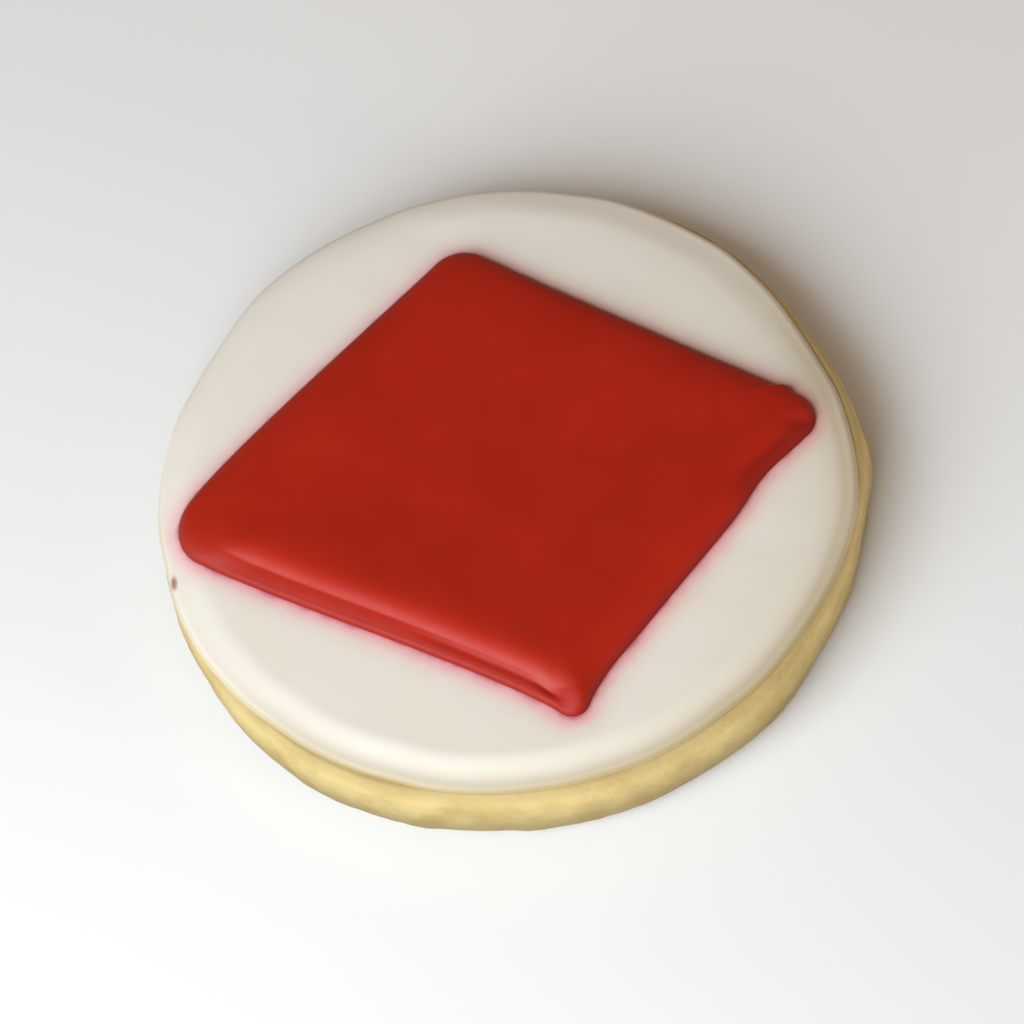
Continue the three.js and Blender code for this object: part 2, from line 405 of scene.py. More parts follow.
# the slope down to the rim is longer where the flood ran thin, round this angle
RIM_SLOPE = 2.5
THIN_SLOPE = 5.5
THIN_ANGLE = np.radians(-10)
THIN_SPREAD = np.radians(75)
# and shorter where it ran thick, round this one
FULL_SLOPE = 1.5
FULL_ANGLE = np.radians(115)
FULL_SPREAD = np.radians(38)
# a shallow crease runs along the rim beside it
CREASE_ANGLE = np.radians(-22)
CREASE_SPREAD = np.radians(42)
CREASE_DEPTH = 0.06
CREASE_INSET, CREASE_WIDTH = 1.25, 0.5
# along the front the slope gives way to a broad roll between these insets
ROLL_ANGLE = np.radians(-110)
ROLL_SPREAD = np.radians(46)
ROLL_START, ROLL_END = 0.3, 4.0
# low swells of the surface, height and wavelength, and the insets between which they set in
WHITE_SWELLS = [(0.02, 17.0), (0.006, 6.0)]
WHITE_CALM = (0.4, 4)
# how finely it is divided, how far in the innermost ring lies, and how far it reaches into the biscuit
WHITE_EDGE_RINGS, WHITE_RINGS, WHITE_UNDER_RINGS = 14, 108, 12
WHITE_INNERMOST = 36.5
WHITE_SINK = 0.1
# small waves of the rim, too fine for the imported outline
RIM_RIPPLES = [(13, 0.05, 5), (19, 0.04, 2), (31, 0.02, 3)]


def rounded_edge(inset, width):
    """A quarter of an ellipse: the square root of 1 - (1 - inset / width) squared, then 1."""
    away = 1 - np.clip(inset / width, 0, 1)
    return np.sqrt(1 - away**2)


def polar(places):
    """Angle and radius of each place round the white icing's middle."""
    away = places - white_middle
    return np.arctan2(away[..., 1], away[..., 0]), np.hypot(away[..., 0], away[..., 1])


def white_rim(angles):
    """Radius of the white icing's rim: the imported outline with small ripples."""
    ripples = outline_radius(0.0, RIM_RIPPLES, [], angles)
    return outline_radius(ICING_RADIUS, ICING_WAVES, ICING_RUNS, angles) + ripples


def turn_from(angles, middle):
    """The angle from a middle, brought between minus and plus half a turn."""
    return np.angle(np.exp(1j * (angles - middle)))


def rim_slope(angles, inset):
    """The long slope up from the rim, from 0 to 1: tanh of the inset over a width that varies with angle."""
    thin = np.exp(-((turn_from(angles, THIN_ANGLE) / THIN_SPREAD) ** 4))
    full = hump(turn_from(angles, FULL_ANGLE), 0, FULL_SPREAD)
    width = RIM_SLOPE + (THIN_SLOPE - RIM_SLOPE) * thin - (RIM_SLOPE - FULL_SLOPE) * full
    return np.tanh(inset / width)


def rim_rise(angles, inset):
    """Share of the full thickness: a small round edge, the long slope, a low lip, and less in the crease."""
    rise = EDGE_SHARE * rounded_edge(inset, EDGE_WIDTH) + LIP_SHARE * soft_step(inset, LIP_START, LIP_END)
    rise = rise + (1 - EDGE_SHARE - LIP_SHARE) * rim_slope(angles, inset)
    crease = hump(inset, CREASE_INSET, CREASE_WIDTH)
    crease = crease * hump(turn_from(angles, CREASE_ANGLE), 0, CREASE_SPREAD)
    return rise - CREASE_DEPTH * crease


def rim_inset(places):
    """Angle of each place round the white icing's middle, and how far it lies inside the rim."""
    angles, radii = polar(places)
    return angles, np.maximum(white_rim(angles) - radii, 0)


def on_plane(places):
    """The same places with a height of 0."""
    return np.concatenate([places, np.zeros((*places.shape[:-1], 1))], axis=-1)


def white_surface(places):
    """Height of the white icing: its rise from the rim, an S-shaped roll along the front, and low swells."""
    angles, inset = rim_inset(places)
    roll = soft_step(inset, ROLL_START, ROLL_END) - rim_slope(angles, inset)
    front = hump(turn_from(angles, ROLL_ANGLE), 0, ROLL_SPREAD)
    rise = rim_rise(angles, inset) + (1 - EDGE_SHARE - LIP_SHARE) * front * roll
    swell = cloudy_relief(on_plane(places), WHITE_SWELLS, 11) * soft_step(inset, *WHITE_CALM)
    return BISCUIT_TOP + WHITE_HEIGHT * rise + swell


def distance_to_outline(places, outline):
    """Distance of each place from a closed outline, negative inside it."""
    start, step = outline, np.roll(outline, -1, axis=0) - outline
    square = (step**2).sum(axis=1)
    result = np.empty(len(places))
    for chunk in np.array_split(np.arange(len(places)), 200):
        gap = places[chunk, None] - start
        part = np.clip((gap * step).sum(axis=-1) / square, 0, 1)
        result[chunk] = np.linalg.norm(gap - part[..., None] * step, axis=-1).min(axis=1)
    x, y = places[:, 0, None], places[:, 1, None]
    x0, y0 = start.T
    x1, y1 = np.roll(start, -1, axis=0).T
    crosses = ((y0 > y) != (y1 > y)) & (x < (x1 - x0) * (y - y0) / (y1 - y0 + 1e-12) + x0)
    return np.where(crosses.sum(axis=1) % 2 == 1, -result, result)


def store(piece, name, values):
    """Keeps one number for each point of a piece, under a name that a material can read."""
    attribute = piece.data.attributes.new(name, "FLOAT", "POINT")
    attribute.data.foreach_set("value", np.asarray(values, dtype=np.float32))


def make_white_icing():
    """A flat underside just inside the biscuit, then rings from the rim inwards, which get truly round."""
    angles = np.linspace(0, 2 * np.pi, AROUND, endpoint=False)
    rim = white_rim(angles)
    turn = np.linspace(0, np.pi / 2, WHITE_EDGE_RINGS)
    inner = np.linspace(EDGE_WIDTH, WHITE_INNERMOST, WHITE_RINGS)[1:]
    inset = np.concatenate([EDGE_WIDTH * (1 - np.cos(turn)), inner])[:, None]
    roundness = np.maximum(inset - EDGE_WIDTH, 0) / (ICING_RADIUS - EDGE_WIDTH)
    radii = rim - inset - roundness * (rim - ICING_RADIUS)
    flat = stack(radii, np.zeros_like(radii), angles, white_middle)
    top = flat.copy()
    top[..., 2] = white_surface(flat[..., :2])
    under = BISCUIT_TOP - WHITE_SINK
    below_radii = np.linspace(0.05, 1, WHITE_UNDER_RINGS)[:, None] * rim
    below = stack(below_radii, np.full_like(below_radii, under), angles, white_middle)
    rings = np.concatenate([below, top])
    middle_high = [*white_middle, top[-1, :, 2].mean()]
    piece = ring_piece("white_flood", rings, [*white_middle, under], middle_high)
    places = np.concatenate([rings.reshape(-1, 3)[:, :2], [white_middle, white_middle]])
    store(piece, "from_diamond", distance_to_outline(places, diamond))
    store(piece, "thickness", rim_rise(*rim_inset(places)))
    return piece


white_icing = make_white_icing()

# %% [markdown]
# ## The red icing
#
# The diamond is made by drawing its outline in towards its middle, ring after ring. Because a diamond's
# sides are all equally far from its middle, shrinking the outline moves every side inwards by the same
# distance. The inner rings follow a softened outline, so that a small swerve of the edge isn't copied all the
# way in. The height is a function of the inset: a steep piped edge, a ridge, and a shallow bowl inside it,
# because a flood sinks a little in its middle as it dries.
#
# The outline was piped first and flooded afterwards. Along the lower left side the flood didn't quite cover
# the piped line, so the line's round bead shows, with a shelf behind it. A groove is left between the two. It
# is deepest beside the bottom corner, and there is a short one beside the right corner, where the edge is
# also flattened into a slanting facet. Each of these is a narrow bell across the inset, with a strength that
# varies along the outline.

# %% Red icing shape
RED_BASE = WHITE_TOP
RIDGE = RED_TOP - RED_BASE
PLAIN_EDGE = 0.85
PLAIN_EDGE_WIDTH = 0.7
PLAIN_ROLL = 1.35
BEAD_HEIGHT = 0.62
BEAD_WIDTH = 0.42
SHELF_RISE = 0.88
SHELF_WIDTH = 2.5
FLOOD_START = 2.0
FLOOD_ROLL = 1.5
FLOOD_POWER = 1.2
# low swells of the surface, height and wavelength, and the insets between which they set in
RED_SWELLS = [(0.03, 15.0), (0.008, 5.0)]
RED_CALM = (0.5, 5)
# the outer band of close rings, the gap left in the middle, and how the rings spread out between them
EDGE_BAND, CENTRE_GAP, SPREADING = 3.2, 0.4, 1.15
EDGE_RINGS, INNER_RINGS, UNDER_RINGS = 40, 60, 8
# how far the red reaches into the white, and how far inwards the white's uneven height is followed
RED_SINK = 0.2
GROUND_REACH = 3
# the bowl: how deep, and the insets between which the surface goes down into it
BOWL, BOWL_START, BOWL_END = 0.6, 3.5, 17
GROOVE_INSET, GROOVE_WIDTH = 1.4, 0.48


def plain_edge(inset):
    """Where the flood covers the piped line: a round edge, then an exponential rise to the ridge."""
    roll = 1 - np.exp(-inset / PLAIN_ROLL)
    return PLAIN_EDGE * rounded_edge(inset, PLAIN_EDGE_WIDTH) + (RIDGE - PLAIN_EDGE) * roll


def stepped_edge(inset):
    """Where the piped line shows: its round bead, a shelf, and the flood swelling up to the ridge."""
    shelf = SHELF_RISE * np.tanh(inset / SHELF_WIDTH)
    flood = 1 - np.exp(-((np.maximum(inset - FLOOD_START, 0) / FLOOD_ROLL) ** FLOOD_POWER))
    bead = BEAD_HEIGHT * rounded_edge(inset, BEAD_WIDTH)
    return bead + shelf + (RIDGE - BEAD_HEIGHT - SHELF_RISE) * flood


def before(tip, outline, length):
    """How far each outline point lies before the point nearest to a tip, going round the outline."""
    nearest = np.linalg.norm(outline - tip, axis=1).argmin()
    return ((nearest - np.arange(len(outline))) % len(outline)) * length / len(outline)


bottom_tip = diamond[diamond[:, 1].argmin()]
right_tip = diamond[diamond[:, 0].argmax()]
before_bottom = before(bottom_tip, diamond, diamond_length)
before_right = before(right_tip, diamond, diamond_length)
round_bottom = (before_bottom + diamond_length / 2) % diamond_length - diamond_length / 2
# where the piped line shows: the lower left side, fading out before the left corner
lower_left = soft_step(round_bottom, -1.5, 1.5) * (1 - soft_step(round_bottom, 40, 50))
# the groove's depth: along the lower left side, deeper at one spot near its end, and beside the right corner
groove = 0.12 * (1 - soft_step(before_bottom, 12, 24)) * soft_step(before_bottom, 0.8, 2.4)
groove += 0.20 * hump(before_bottom, 2.7, 1.4)
groove += 0.10 * (1 - soft_step(before_right, 5, 12)) * soft_step(before_right, 0.3, 1.6)
# the facet before the right corner, how deep and wide it is
facet = soft_step(before_right, 0, 2) * (1 - soft_step(before_right, 7, 15))
FACET_DEPTH, FACET_INSET, FACET_WIDTH = 0.42, 0.3, 1.4
# painted shade: how dark the facet is painted, and how dark the thin line along the whole edge is, and where
FACET_DARKNESS, FACET_DARK_INSET, FACET_DARK_WIDTH = 0.55, 1.0, 0.85
LINE_DARKNESS, LINE_WIDTH = 0.7, 0.42
# on the lower left side, where the edge faces the light, the line is paler by this share
LINE_FADE = 0.4
# painted highlight: the flood is painted brightest where it swells up behind the shelf
CREST_LIGHT, CREST_INSET, CREST_WIDTH = 0.4, 2.7, 1.2
# the inner rings are softened by a bell this many points wide, fully from the second inset on
SOFT_POINTS = 6
SOFT_START, SOFT_END = 0.6, 4.0


def softened(outline):
    """Every point replaced by the mean of its neighbours, weighted by a bell round it."""
    offsets = np.arange(-2 * SOFT_POINTS, 2 * SOFT_POINTS + 1)
    weights = hump(offsets, 0, SOFT_POINTS)
    shifted = np.stack([np.roll(outline, offset, axis=0) for offset in offsets])
    return np.tensordot(weights / weights.sum(), shifted, axes=1)


def for_all(top_values, middle_value):
    """A number for every point: 0 underneath, the values of the top rings, and those of the two middles."""
    return np.concatenate([np.zeros(UNDER_RINGS * AROUND), top_values.ravel(), [0, middle_value]])


def make_red_icing():
    """The outline scaled towards its middle; the height above the white is a function of the inset."""
    turn = np.linspace(0, np.pi / 2, EDGE_RINGS)
    spread = np.linspace(0, 1, INNER_RINGS)[1:] ** SPREADING
    inner = EDGE_BAND + (HALF_WIDTH - EDGE_BAND - CENTRE_GAP) * spread
    inset = np.concatenate([EDGE_BAND * (1 - np.cos(turn)), inner])[:, None]
    soften = soft_step(inset, SOFT_START, SOFT_END)[..., None]
    drawn = diamond + soften * (softened(diamond) - diamond)
    flat = diamond_middle + (1 - inset / HALF_WIDTH)[..., None] * (drawn - diamond_middle)
    rise = lower_left * stepped_edge(inset) + (1 - lower_left) * plain_edge(inset)
    rise = rise * (1 - FACET_DEPTH * facet * hump(inset, FACET_INSET, FACET_WIDTH))
    rise = rise - groove * hump(inset, GROOVE_INSET, GROOVE_WIDTH)
    rise = rise - BOWL * soft_step(inset, BOWL_START, BOWL_END)
    swell = cloudy_relief(on_plane(flat), RED_SWELLS, 21) * soft_step(inset, *RED_CALM)
    ground = (white_surface(diamond) - RED_BASE) * np.exp(-inset / GROUND_REACH)
    heights = RED_BASE + ground + rise + swell
    top = np.concatenate([flat, heights[..., None]], axis=-1)
    shares = np.linspace(0.05, 1, UNDER_RINGS)[:, None, None]
    under = diamond_middle + shares * (diamond - diamond_middle)
    below = np.concatenate([under, white_surface(under)[..., None] - RED_SINK], axis=-1)
    middle_low = [*diamond_middle, RED_BASE - RED_SINK]
    middle_high = [*diamond_middle, heights[-1].mean()]
    piece = ring_piece("red_flood", np.concatenate([below, top]), middle_low, middle_high)
    store(piece, "from_edge", for_all(np.tile(inset, (1, AROUND)), HALF_WIDTH))
    # painted shade: a dark line along the edge, paler where it faces the light, and a darker band on the
    # facet
    line = LINE_DARKNESS * (1 - LINE_FADE * lower_left) * np.exp(-inset / LINE_WIDTH)
    shade = line + FACET_DARKNESS * facet * hump(inset, FACET_DARK_INSET, FACET_DARK_WIDTH)
    # painted highlight: a lighter band on the crest of the lower left side
    crest_highlight = CREST_LIGHT * lower_left * hump(inset, CREST_INSET, CREST_WIDTH)
    store(piece, "painted_crest_highlight", for_all(crest_highlight, 0))
    store(piece, "painted_edge_shade", for_all(shade, 0))
    return piece


red_icing = make_red_icing()

# %% [markdown]
# ## Materials
#
# Every finish starts as one Principled shader with its plain numbers set on the shader itself. Colour,
# roughness and bump then come from nodes. The helpers below make one node each, so that the recipes after
# them read like recipes.

# %% Node helpers
class Recipe:
    """One material and short ways to add nodes to it."""

    def __init__(self, name, roughness, specular):
        self.material = bpy.data.materials.new(name)
        self.material.use_nodes = True
        self.tree = self.material.node_tree
        self.shader = self.tree.nodes["Principled BSDF"]
        self.shader.inputs["Roughness"].default_value = roughness
        self.shader.inputs["Specular IOR Level"].default_value = specular
        self.place = self.tree.nodes.new("ShaderNodeTexCoord").outputs["Object"]

    def node(self, kind, **settings):
        """A new node with these settings."""
        made = self.tree.nodes.new(kind)
        for key, value in settings.items():
            setattr(made, key, value)
        return made

    def join(self, source, target):
        """Links an output to an input."""
        self.tree.links.new(source, target)

    def noise(self, size_mm, detail=3.0, rough=0.5, seed=0.0):
        """A cloudy field with lumps of this size, from 0 to 1."""
        made = self.node("ShaderNodeTexNoise", noise_dimensions="4D")
        made.inputs["Scale"].default_value = 1 / (size_mm * MM)
        made.inputs["Detail"].default_value = detail
        made.inputs["Roughness"].default_value = rough
        made.inputs["W"].default_value = seed
        self.join(self.place, made.inputs["Vector"])
        return made.outputs["Fac"]

    def span(self, value, low, high, to_low=0.0, to_high=1.0, smooth=True):
        """Maps low..high to to_low..to_high."""
        made = self.node("ShaderNodeMapRange")
        made.interpolation_type = "SMOOTHSTEP" if smooth else "LINEAR"
        limits = {"From Min": low, "From Max": high, "To Min": to_low, "To Max": to_high}
        for key, number in limits.items():
            made.inputs[key].default_value = number
        self.join(value, made.inputs["Value"])
        return made.outputs["Result"]

    def math(self, operation, first, second=None):
        """first and second combined; each is a socket or a number."""
        made = self.node("ShaderNodeMath", operation=operation)
        for socket, value in zip(made.inputs, (first, second)):
            if isinstance(value, bpy.types.NodeSocket):
                self.join(value, socket)
            elif value is not None:
                socket.default_value = value
        return made.outputs["Value"]

    def mix(self, amount, under, over, blend="MIX"):
        """Colour under with colour over it, by amount; each is a socket or three numbers."""
        made = self.node("ShaderNodeMix", data_type="RGBA", blend_type=blend)
        for socket, value in ((made.inputs[0], amount), (made.inputs[6], under), (made.inputs[7], over)):
            if isinstance(value, bpy.types.NodeSocket):
                self.join(value, socket)
            else:
                socket.default_value = (*value, 1) if isinstance(value, tuple) else value
        return made.outputs[2]

    def stored(self, name):
        """A number kept with the mesh."""
        return self.node("ShaderNodeAttribute", attribute_name=name).outputs["Fac"]

    def along(self, heading):
        """How far a point lies from the origin in one direction, in metres."""
        made = self.node("ShaderNodeVectorMath", operation="DOT_PRODUCT")
        self.join(self.place, made.inputs[0])
        made.inputs[1].default_value = heading
        return made.outputs["Value"]

    def ramp(self, value, stops):
        """A number turned into another by straight lines between stops (position, value)."""
        made = self.node("ShaderNodeValToRGB")
        stripe = made.color_ramp
        while len(stripe.elements) < len(stops):
            stripe.elements.new(0.5)
        for element, (position, level) in zip(stripe.elements, stops):
            element.position = position
            element.color = (level, level, level, 1)
        self.join(value, made.inputs["Fac"])
        return made.outputs["Color"]

    def relief(self, layers):
        """Bumps laid on each other: each layer is a height field from 0 to 1 and its depth in mm."""
        normal = None
        for field, depth_mm in layers:
            made = self.node("ShaderNodeBump")
            made.inputs["Strength"].default_value = 1
            made.inputs["Distance"].default_value = depth_mm * MM
            self.join(field, made.inputs["Height"])
            if normal is not None:
                self.join(normal, made.inputs["Normal"])
            normal = made.outputs["Normal"]
        self.join(normal, self.shader.inputs["Normal"])

    def finish(self, piece, colour, roughness):
        """Joins colour and roughness to the shader and gives the material to the piece."""
        self.join(colour, self.shader.inputs["Base Color"])
        self.join(roughness, self.shader.inputs["Roughness"])
        piece.data.materials.append(self.material)
        print(f"{self.material.name}: {len(self.tree.nodes)} nodes")


# %% [markdown]
# ## Baked biscuit
#
# A pale sugar biscuit is the colour of dry sand, a little deeper in some patches than in others. Its side is
# painted darker towards the foot, as painted shade, and it browns only along its lower edge and underneath,
# where the tray was. Just under the icing's edge it is painted darker, as painted shadow. Its skin is dull
# and finely grained, with small open pores that are painted a little darker, as painted shade in the holes.

# %% Biscuit finish
# how high the toasted foot reaches and how ragged its edge is, and where the painted shadow
# under the icing's edge starts and ends
TOAST_HEIGHT = 1.8 * MM
RAGGED = 0.9 * MM
SHADOW_UNDER_ICING_LOW, SHADOW_UNDER_ICING_HIGH = (BISCUIT_TOP - 1.6) * MM, (BISCUIT_TOP - 0.3) * MM
# painted shade: brightness of the side from its foot up to the icing
SIDE_SHADE_STOPS = [(0.0, 0.46), (0.35, 0.56), (0.46, 0.64), (0.57, 0.75), (0.69, 0.86), (0.80, 0.95), (0.92, 1.0)]
PORE_SIZE = 1.3 * MM


def biscuit_finish(piece):
    """Sand colour in two tones by a cloudy field, painted shade down the side and under the icing, toasted
    towards the foot, with grain and pores.
    """
    dough = Recipe("baked_biscuit", roughness=0.8, specular=0.25)
    patches = dough.span(dough.noise(3.5, detail=3, seed=1), 0.35, 0.68)
    colour = dough.mix(patches, (0.60, 0.465, 0.21), (0.52, 0.385, 0.155))
    flecks = dough.span(dough.noise(0.7, detail=2, seed=2), 0.58, 0.75, 0, 0.35)
    colour = dough.mix(flecks, colour, (0.60, 0.49, 0.26))
    height = dough.node("ShaderNodeSeparateXYZ")
    dough.join(dough.place, height.inputs["Vector"])
    wander = dough.span(dough.noise(2.2, seed=3), 0, 1, -RAGGED, RAGGED)
    ragged = dough.math("ADD", height.outputs["Z"], wander)
    # painted shade: the side is made darker towards its foot by this grey ramp
    painted_side_shade = dough.ramp(dough.span(ragged, 0, BISCUIT_TOP * MM, smooth=False), SIDE_SHADE_STOPS)
    colour = dough.mix(1.0, colour, painted_side_shade, blend="MULTIPLY")
    toast = dough.span(ragged, 0.0, TOAST_HEIGHT, 0.7, 0.0)
    colour = dough.mix(toast, colour, (0.30, 0.20, 0.08))
    # painted shadow: the biscuit is darker just under the icing's edge
    painted_shadow_under_icing = dough.span(height.outputs["Z"], SHADOW_UNDER_ICING_LOW, SHADOW_UNDER_ICING_HIGH, 0, 0.5)
    colour = dough.mix(painted_shadow_under_icing, colour, (0.39, 0.30, 0.135))
    pores = dough.node("ShaderNodeTexVoronoi")
    pores.inputs["Scale"].default_value = 1 / PORE_SIZE
    dough.join(dough.place, pores.inputs["Vector"])
    holes = dough.span(pores.outputs["Distance"], 0.08, 0.3)
    # painted shade: the pores are made a little darker brown, as shade in the holes
    colour = dough.mix(dough.span(holes, 0, 1, 0.1, 0, smooth=False), colour, (0.38, 0.26, 0.11))
    dough.relief([(holes, 0.02), (dough.noise(0.5, detail=4, rough=0.6, seed=4), 0.05)])
    dough.finish(piece, colour, dough.span(dough.noise(1.5, seed=5), 0, 1, 0.7, 0.9))


biscuit_finish(biscuit)

# %% [markdown]
# ## White icing
#
# Dried royal icing is an ivory white with a satin skin, painted a little paler towards the back left, as
# painted light. Red colour has crept into it from the diamond: the stain is strongest against the red and
# gone about three millimetres away, and right at the contact there is a fine dark line of painted shade. At
# the rim the layer is thin and the biscuit shows through, so it looks creamy; most of all along the front
# right, where this tone is partly painted shade, and at the very edge in front painted shade makes it nearly
# as dark as the biscuit. On the left of the rim there is one small brownish fleck.

# %% White icing finish
# the fleck: its place, how it is squeezed, and how far its full colour and its faint edge reach
SPECK = (-37.5 * MM, -4.0 * MM, 9.55 * MM)
SPECK_SQUEEZE = (1.8, 0.85, 1.0)
SPECK_CORE, SPECK_EDGE = 0.2 * MM, 1.1 * MM
# how far from the red, in millimetres, the stain and the painted shade line reach, and how strong they are on
# the way
STAIN_REACH, CONTACT_SHADE_REACH = 3.0, 0.5
STAIN_STOPS = [(0.0, 0.92), (0.08, 0.76), (0.18, 0.62), (0.3, 0.46), (0.42, 0.28), (0.60, 0.12), (1.0, 0.0)]
CONTACT_SHADE_STOPS = [(0.0, 0.66), (0.4, 0.86), (1.0, 1.0)]
# how much the cream (partly painted shade), and then the painted edge shade, show at each share of the full
# thickness
CREAM_AND_SHADE_STOPS = [
    (0.0, 1.0), (0.34, 0.9), (0.5, 0.66), (0.57, 0.48), (0.66, 0.28), (0.78, 0.14), (0.88, 0.06), (0.97, 0.0),
]
EDGE_SHADE_STOPS = [(0.0, 1.0), (0.3, 0.85), (0.45, 0.25), (0.55, 0.0)]
# directions across the cookie in which the painted light, the cream with its painted shade, and the painted
# edge shade get stronger
BACK_LEFT, FRONT_RIGHT, FRONT = (-0.55, 0.84, 0), (0.5, -0.87, 0), (-0.35, -0.94, 0)


def white_finish(piece):
    """Ivory with painted light at the back left, multiplied by pink and a painted shade line near the
    diamond, mixed with a creamy tone where it is thin, partly painted shade, with painted shade at the front
    edge and a satin skin.
    """
    sugar = Recipe("white_royal_icing", roughness=0.42, specular=0.45)
    cloudy = sugar.span(sugar.noise(9, detail=2, seed=1), 0.3, 0.7)
    colour = sugar.mix(cloudy, (0.775, 0.745, 0.685), (0.79, 0.76, 0.71))
    # painted light: the white is made paler towards the back left
    painted_light_back_left = sugar.span(sugar.along(BACK_LEFT), 4 * MM, 30 * MM, 0.0, 0.9)
    colour = sugar.mix(painted_light_back_left, colour, (0.82, 0.795, 0.76))
    wander = sugar.span(sugar.noise(2.5, detail=2, seed=2), 0.2, 0.8, -0.22, 0.22)
    distance = sugar.math("ADD", sugar.stored("from_diamond"), wander)
    stain = sugar.ramp(sugar.span(distance, 0, STAIN_REACH, smooth=False), STAIN_STOPS)
    ground = sugar.node("ShaderNodeSeparateXYZ")
    sugar.join(sugar.place, ground.inputs["Vector"])
    stain = sugar.math("MULTIPLY", stain, sugar.span(ground.outputs["Y"], -12 * MM, 12 * MM, 1.0, 0.7))
    side = sugar.span(ground.outputs["X"], -4 * MM, 6 * MM)
    dye = sugar.mix(side, (1.0, 0.33, 0.49), (0.97, 0.34, 0.43))
    pink = sugar.mix(stain, (1.0, 1.0, 1.0), dye)
    colour = sugar.mix(1.0, colour, pink, blend="MULTIPLY")
    # painted shade: a fine dark line right at the contact with the red
    painted_contact_shade = sugar.ramp(sugar.span(distance, 0, CONTACT_SHADE_REACH, smooth=False), CONTACT_SHADE_STOPS)
    colour = sugar.mix(1.0, colour, painted_contact_shade, blend="MULTIPLY")
    thickness = sugar.stored("thickness")
    # the creamy tone at the thin rim is partly the biscuit showing through and partly painted shade,
    # strongest on the front right
    cream_and_shade_front_right = sugar.span(sugar.along(FRONT_RIGHT), -8 * MM, 14 * MM, 0.2, 1.0)
    thin = sugar.math("MULTIPLY", sugar.ramp(thickness, CREAM_AND_SHADE_STOPS), cream_and_shade_front_right)
    colour = sugar.mix(thin, colour, (0.50, 0.415, 0.275))
    # painted shade: the very edge in front is darkened nearly to the biscuit's colour
    in_front = sugar.span(sugar.along(FRONT), 1 * MM, 12 * MM)
    edge = sugar.math("MULTIPLY", sugar.ramp(thickness, EDGE_SHADE_STOPS), in_front)
    colour = sugar.mix(edge, colour, sugar.mix(1.0, colour, (0.76, 0.72, 0.55), blend="MULTIPLY"))
    offset = sugar.node("ShaderNodeVectorMath", operation="SUBTRACT")
    sugar.join(sugar.place, offset.inputs[0])
    offset.inputs[1].default_value = SPECK
    squeezed = sugar.node("ShaderNodeVectorMath", operation="MULTIPLY")
    sugar.join(offset.outputs["Vector"], squeezed.inputs[0])
    squeezed.inputs[1].default_value = SPECK_SQUEEZE
    speck = sugar.node("ShaderNodeVectorMath", operation="LENGTH")
    sugar.join(squeezed.outputs["Vector"], speck.inputs[0])
    frayed = sugar.span(sugar.noise(0.8, seed=3), 0, 1, -0.3 * MM, 0.3 * MM)
    ragged = sugar.math("ADD", speck.outputs["Value"], frayed)
    fleck = sugar.span(ragged, SPECK_CORE, SPECK_EDGE, 0.9, 0.0)
    colour = sugar.mix(fleck, colour, (0.31, 0.135, 0.125))
    sugar.relief([(sugar.noise(1.2, detail=3, seed=4), 0.006)])
    sugar.finish(piece, colour, sugar.span(sugar.noise(4, seed=5), 0, 1, 0.36, 0.46))


white_finish(white_icing)

# %% [markdown]
# ## Red icing
#
# The red is deep and slightly brown, because it takes a lot of colour to make icing red. Its skin is satin
# like the white's, so a broad pink sheen lies along the ridge that faces the light. The colour is painted
# darker in a thin line along its edge and on the facet, as painted shade, and painted lighter where the flood
# swells up behind the piped line, as a painted highlight. Those painted tints are stored with the points,
# because they follow the outline.

# %% Red icing finish
def red_finish(piece):
    """Deep red in two close tones, with painted shade along the edge and on the facet and a painted highlight
    on the crest, with a skin that is duller at the edge.
    """
    colouring = Recipe("red_royal_icing", roughness=0.4, specular=0.36)
    cloudy = colouring.span(colouring.noise(7, detail=3, seed=1), 0.3, 0.7)
    colour = colouring.mix(cloudy, (0.370, 0.0115, 0.003), (0.400, 0.0135, 0.0045))
    # painted highlight: lighter red on the crest
    colour = colouring.mix(colouring.stored("painted_crest_highlight"), colour, (0.55, 0.022, 0.01))
    # painted shade: darker red along the edge and on the facet
    line = colouring.stored("painted_edge_shade")
    colour = colouring.mix(line, colour, (0.16, 0.006, 0.0035))
    colouring.relief([(colouring.noise(1.0, detail=3, seed=3), 0.005)])
    skin = colouring.span(colouring.noise(3.5, seed=4), 0, 1, 0.36, 0.44)
    dull = colouring.span(colouring.stored("from_edge"), 0.3, 1.3, 0.2, 0.0)
    colouring.finish(piece, colour, colouring.math("ADD", skin, dull))


red_finish(red_icing)

# %% [markdown]
# ## Joining the pieces to the frame
#
# The cookie has no moving parts, so all three pieces ride on the one body. Each stands for its imported
# piece, which is hidden.

# %% Ride and replace
for piece, node in ((biscuit, "biscuit"), (white_icing, "white_icing"), (red_icing, "red_icing")):
    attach(piece, "root")
    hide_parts(node)

# %% [markdown]
# ## The floor
#
# The floor is a wide pale sheet under the cookie. It isn't part of the object, and it is smooth and dull, so
# that it catches the soft shadow and throws some light back up at the biscuit's side.

# %% Floor
FLOOR_HALF = 1.5


def make_floor():
    """A flat square, three metres across, at the height that the biscuit lies on."""
    mesh = bpy.data.meshes.new("floor")
    corners = [(FLOOR_HALF * x, FLOOR_HALF * y, 0) for x, y in ((-1, -1), (1, -1), (1, 1), (-1, 1))]
    mesh.from_pydata(corners, [], [(0, 1, 2, 3)])
    floor = bpy.data.objects.new("floor", mesh)
    bpy.context.scene.collection.objects.link(floor)
    paper = bpy.data.materials.new("pale_floor")
    paper.use_nodes = True
    paper.node_tree.nodes["Principled BSDF"].inputs["Base Color"].default_value = (0.86, 0.885, 0.93, 1)
    paper.node_tree.nodes["Principled BSDF"].inputs["Roughness"].default_value = 0.9
    mesh.materials.append(paper)
    return floor


floor = make_floor()

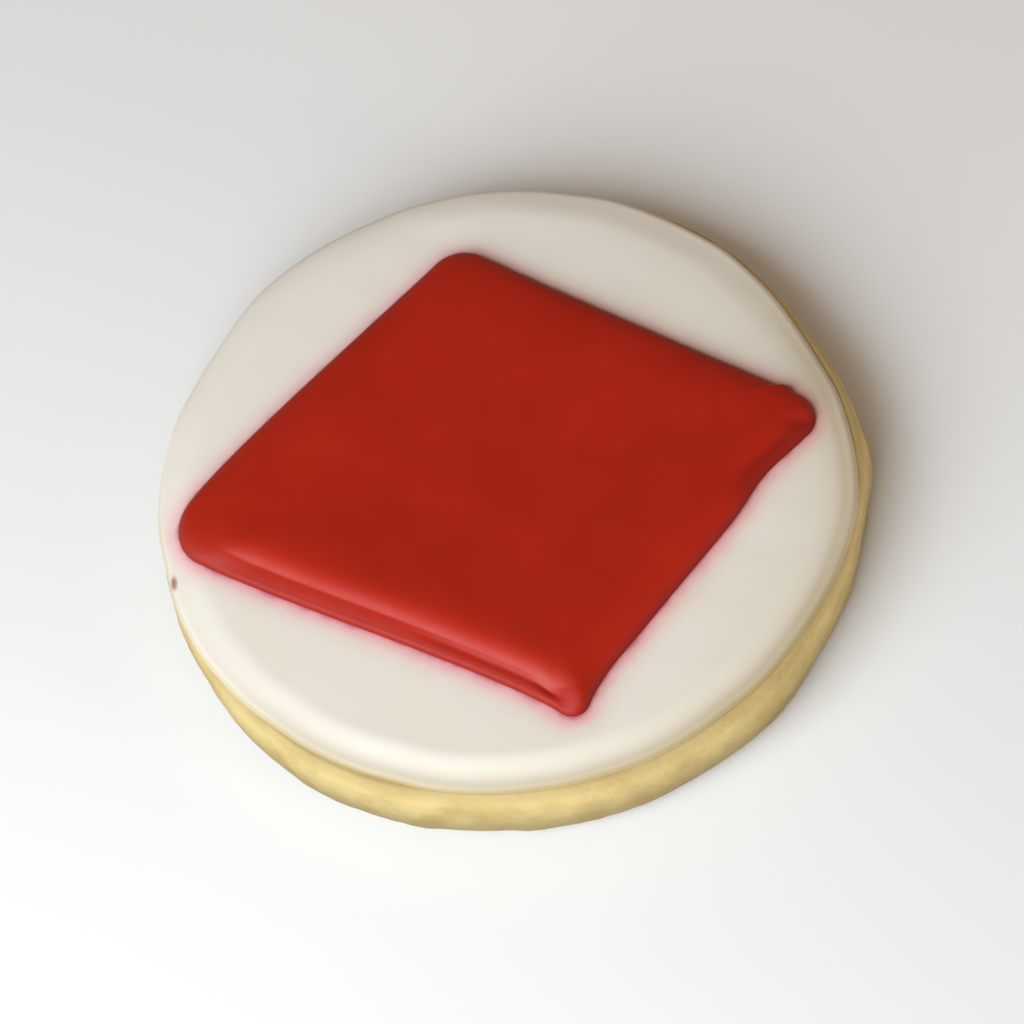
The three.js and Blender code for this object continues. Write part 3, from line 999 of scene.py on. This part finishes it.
# %% [markdown]
# ## Light
#
# One broad, soft lamp stands close on the front left. It is near enough that the far side of the cookie gets
# less of it, which gives the white icing its slow fall of light from left to right. A small lamp stands low
# on the front right and lifts the biscuit's side there. It is hidden from reflections, so that it draws no
# line on the shiny icing. A weak warm sky fills the shadows.

# %% Lamps and sky
def soft_lamp(name, place, aim, size, watts, colour):
    """A square lamp, with the direction from place to aim as its axis. Lengths are in metres."""
    lamp = bpy.data.lights.new(name, "AREA")
    lamp.size = size
    lamp.energy = watts
    lamp.color = colour
    holder = bpy.data.objects.new(name, lamp)
    back = np.array(place) - np.array(aim)
    back /= np.linalg.norm(back)
    side = np.cross((0, 0, 1), back)
    side /= np.linalg.norm(side)
    turn = np.stack([side, np.cross(back, side), back], axis=-1)
    holder.matrix_world = Matrix.LocRotScale(place, Matrix(turn.tolist()).to_quaternion(), None)
    bpy.context.scene.collection.objects.link(holder)
    return holder


KEY_ANGLE, KEY_HEIGHT = np.radians([-135, 36])
KEY_DISTANCE = 0.44
key_place = KEY_DISTANCE * np.array([
    np.cos(KEY_HEIGHT) * np.cos(KEY_ANGLE), np.cos(KEY_HEIGHT) * np.sin(KEY_ANGLE), np.sin(KEY_HEIGHT)
])
aim = (0, 0, 0)
soft_lamp("window", key_place.tolist(), aim, size=0.42, watts=3.02, colour=(0.91, 0.98, 1.0))
fill = soft_lamp(
    "lamp_on_the_right", (0.46, -0.40, 0.06), aim, size=0.12, watts=1.15, colour=(1.0, 0.95, 0.87)
)
fill.visible_glossy = False
sky = bpy.data.worlds.new("studio")
sky.use_nodes = True
sky.node_tree.nodes["Background"].inputs["Color"].default_value = (1.0, 0.70, 0.44, 1)
sky.node_tree.nodes["Background"].inputs["Strength"].default_value = 0.26
bpy.context.scene.world = sky
bpy.context.scene.view_settings.view_transform = "Standard"

# %% [markdown]
# ## Camera
#
# The camera looks down at the cookie from in front, at about sixty degrees above the table, and it is rolled
# a little to the side. It is built from those angles: the line from the cookie back to the camera, the
# camera's right and up turned about that line, and the distance along it.

# %% Camera
ELEVATION, AZIMUTH, ROLL = np.radians([59.66, -0.90, -11.80])
DISTANCE_MM = 401.25
TARGET_MM = np.array([0.03, 1.13, 0.0])
LENS_MM = 128.05
SENSOR_MM = 36.0


def make_camera():
    """Stands at target plus distance times back, with its axes right, up and back."""
    back = np.array([
        np.sin(AZIMUTH) * np.cos(ELEVATION), -np.cos(AZIMUTH) * np.cos(ELEVATION), np.sin(ELEVATION)
    ])
    level = np.cross(-back, (0, 0, 1))
    level /= np.linalg.norm(level)
    upright = np.cross(level, -back)
    right = np.cos(ROLL) * level + np.sin(ROLL) * upright
    up = -np.sin(ROLL) * level + np.cos(ROLL) * upright
    middle = np.array([*((biscuit_middle + white_middle) / 2), 0])
    place = (middle + TARGET_MM + back * DISTANCE_MM) * MM
    lens = bpy.data.cameras.new("camera")
    lens.lens = LENS_MM
    lens.sensor_width = SENSOR_MM
    lens.clip_start = 0.01
    camera = bpy.data.objects.new("camera", lens)
    turn = Matrix(np.stack([right, up, back], axis=-1).tolist())
    camera.matrix_world = Matrix.LocRotScale(place.tolist(), turn.to_quaternion(), None)
    bpy.context.scene.collection.objects.link(camera)
    bpy.context.scene.camera = camera
    print("camera stands at", (place / MM).round(1), "mm")


make_camera()

# %% Finish
bpy.context.view_layer.update()
